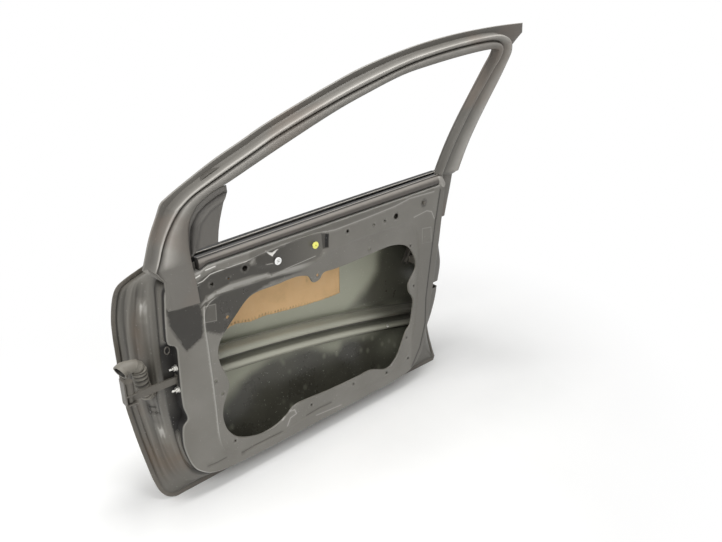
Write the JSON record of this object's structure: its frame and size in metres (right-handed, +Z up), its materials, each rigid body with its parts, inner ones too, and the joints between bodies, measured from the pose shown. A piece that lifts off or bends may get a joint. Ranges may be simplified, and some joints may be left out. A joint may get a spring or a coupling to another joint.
{
  "type": "car door shell",
  "caption": "Bare right-hand front door shell of a small hatchback: pressed inner panel with access opening, outer skin, window frame, side beam, door check arm and wiring boot.",
  "frame": {"origin": "centre of the upper hinge seat on the front face of the inner panel", "axes": "+X towards the rear of the car along the sill, +Y outboard through the skin, +Z up; the door is stored upright as it hangs"},
  "size_m": [1.2441, 0.2543, 1.1275],
  "materials": {
    "sprayed_grey_paint": "uneven sprayed grey, satin",
    "green_grey_primer": "bare primer, satin",
    "black_rubber": "matt",
    "zinc_plate": "bright zinc",
    "dark_steel": "dark coated steel",
    "brown_damping_felt": "matt fibre pad",
    "white_plastic": "satin",
    "yellow_plastic": "satin",
    "black_plastic": "matt"
  },
  "bodies": {
    "shell": {"inner_panel": "sprayed_grey_paint", "outer_skin": "green_grey_primer", "window_frame": "sprayed_grey_paint", "glass_run": "black_rubber", "belt_strip_inner": "black_rubber", "belt_strip_outer": "black_rubber", "belt_rail_inner": "sprayed_grey_paint", "belt_rail_outer": "sprayed_grey_paint", "mirror_plate": "black_plastic", "side_beam": "green_grey_primer", "mastic_drop_1": "black_plastic", "mastic_drop_2": "black_plastic", "mastic_drop_3": "black_plastic", "mastic_drop_4": "black_plastic", "hinge_reinforcement_upper": "dark_steel", "hinge_reinforcement_lower": "dark_steel", "latch_reinforcement": "dark_steel", "beam_bracket_front": "dark_steel", "beam_bracket_rear": "dark_steel", "wiring_boot": "black_rubber", "wiring_elbow": "black_rubber", "wiring_plug": "black_plastic", "check_housing": "dark_steel", "check_bolt_lower": "zinc_plate", "check_bolt_upper": "zinc_plate", "damping_pad": "brown_damping_felt", "guide_channel_front": "dark_steel", "guide_channel_rear": "dark_steel", "guide_foot_front": "dark_steel", "guide_foot_rear": "dark_steel", "clip_white": "white_plastic", "clip_yellow": "yellow_plastic", "corner_nut": "zinc_plate", "earth_eyelet": "zinc_plate", "handle_reinforcement": "dark_steel"},
    "arm": {"check_arm": "dark_steel"},
    "bracket": {"check_bracket": "dark_steel", "check_pin": "zinc_plate"}
  },
  "joints": [
    {"name": "check_arm_slide", "type": "slide", "parent": "shell", "child": "arm", "axis": [1, 0, 0], "range_m": [-0.015, 0.02]},
    {"name": "check_bracket_hinge", "type": "hinge", "parent": "arm", "child": "bracket", "pos_m": [-0.05987, -0.0593, -0.177], "axis": [0, 0, 1], "range_deg": [-30, 30]}
  ]
}
